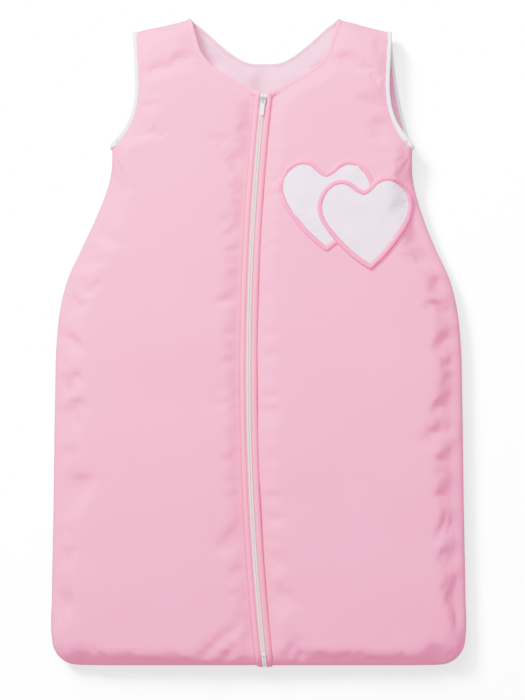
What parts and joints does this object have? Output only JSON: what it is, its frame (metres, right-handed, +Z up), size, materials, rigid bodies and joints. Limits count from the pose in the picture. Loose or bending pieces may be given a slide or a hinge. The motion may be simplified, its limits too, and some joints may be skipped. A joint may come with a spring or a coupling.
{
  "type": "baby sleeping bag",
  "caption": "Sleeveless padded baby sleeping bag with a front zip, V neck, bound armholes and appliqué hearts, lying flat on its back.",
  "frame": {"origin": "middle of the outline, on the surface that the back lies on", "axes": "+Y along the bag from the hem to the neck, +Z up out of the front, +X to the right of someone who looks down on the front"},
  "size_m": [0.5767, 0.9026, 0.052],
  "materials": {
    "shell_cotton": "pink woven cotton, softly puffed",
    "lining_cotton": "pale lilac-white woven cotton",
    "wadding_fibre": "white polyester fibre",
    "binding_cotton": "white bias binding with a stitch line",
    "neck_binding_cotton": "pink bias binding with a stitch line",
    "heart_cotton": "white cotton",
    "heart_satin_stitch": "pink satin stitch, glossy thread",
    "zip_tape_weave": "woven zip tape",
    "facing_cotton": "pink cotton with rows of topstitching",
    "zip_coil_nylon": "white nylon coil",
    "stop_metal": "pressed white metal",
    "slider_metal": "silver plated die casting",
    "pull_enamel": "white enamel"
  },
  "bodies": {
    "bag": {"back_shell": "shell_cotton", "front_left_shell": "shell_cotton", "front_right_shell": "shell_cotton", "back_wadding": "wadding_fibre", "front_left_wadding": "wadding_fibre", "front_right_wadding": "wadding_fibre", "back_lining": "lining_cotton", "front_left_lining": "lining_cotton", "front_right_lining": "lining_cotton", "armhole_binding_left": "binding_cotton", "neck_binding_left": "neck_binding_cotton", "zip_tape_left": "zip_tape_weave", "zip_coil_left": "zip_coil_nylon", "zip_facing_left": "facing_cotton", "armhole_binding_right": "binding_cotton", "neck_binding_right": "neck_binding_cotton", "zip_tape_right": "zip_tape_weave", "zip_coil_right": "zip_coil_nylon", "zip_facing_right": "facing_cotton", "neck_binding_back": "binding_cotton", "zip_bottom_stop": "stop_metal", "front_heart_patch": "heart_cotton", "rear_heart_patch": "heart_cotton", "front_heart_border": "heart_satin_stitch", "rear_heart_border": "heart_satin_stitch"},
    "left_lapel": {"lapel_left_shell": "shell_cotton", "lapel_left_wadding": "wadding_fibre", "lapel_left_lining": "lining_cotton", "lapel_left_neck_binding": "neck_binding_cotton", "lapel_left_zip_tape": "zip_tape_weave", "lapel_left_zip_coil": "zip_coil_nylon", "lapel_left_zip_facing": "facing_cotton", "zip_top_stop_left": "stop_metal"},
    "right_lapel": {"lapel_right_shell": "shell_cotton", "lapel_right_wadding": "wadding_fibre", "lapel_right_lining": "lining_cotton", "lapel_right_neck_binding": "neck_binding_cotton", "lapel_right_zip_tape": "zip_tape_weave", "lapel_right_zip_coil": "zip_coil_nylon", "lapel_right_zip_facing": "facing_cotton", "zip_top_stop_right": "stop_metal", "lapel_right_heart_patch": "heart_cotton", "lapel_right_heart_border": "heart_satin_stitch"},
    "slider": {"slider_body": "slider_metal"},
    "pull": {"pull_tab": "pull_enamel"}
  },
  "joints": [
    {"name": "zip_travel", "type": "hinge", "parent": "bag", "child": "slider", "pos_m": [3.61426, -0.045, 0.047], "axis": [0, 0, 1], "range_deg": [0, 11.93]},
    {"name": "pull_flip", "type": "hinge", "parent": "slider", "child": "pull", "pos_m": [0.00597, 0.33225, 0.05045], "axis": [-0.9946, 0.104, 0], "range_deg": [0, 165]},
    {"name": "left_lapel_fold", "type": "hinge", "parent": "bag", "child": "left_lapel", "pos_m": [0.00274, -0.39, 0.053], "axis": [0.096, -0.9954, 0], "range_deg": [0, 165], "deforming": ["lapel_left_zip_tape", "lapel_left_zip_coil", "lapel_left_zip_facing"]},
    {"name": "right_lapel_fold", "type": "hinge", "parent": "bag", "child": "right_lapel", "pos_m": [0.00274, -0.39, 0.053], "axis": [0.1043, 0.9945, 0], "range_deg": [0, 165], "deforming": ["lapel_right_zip_tape", "lapel_right_zip_coil", "lapel_right_zip_facing"]}
  ],
  "couplings": [
    {"joint": "left_lapel_fold", "follows": "zip_travel", "ratio": 13.83},
    {"joint": "right_lapel_fold", "follows": "zip_travel", "ratio": 13.83}
  ]
}
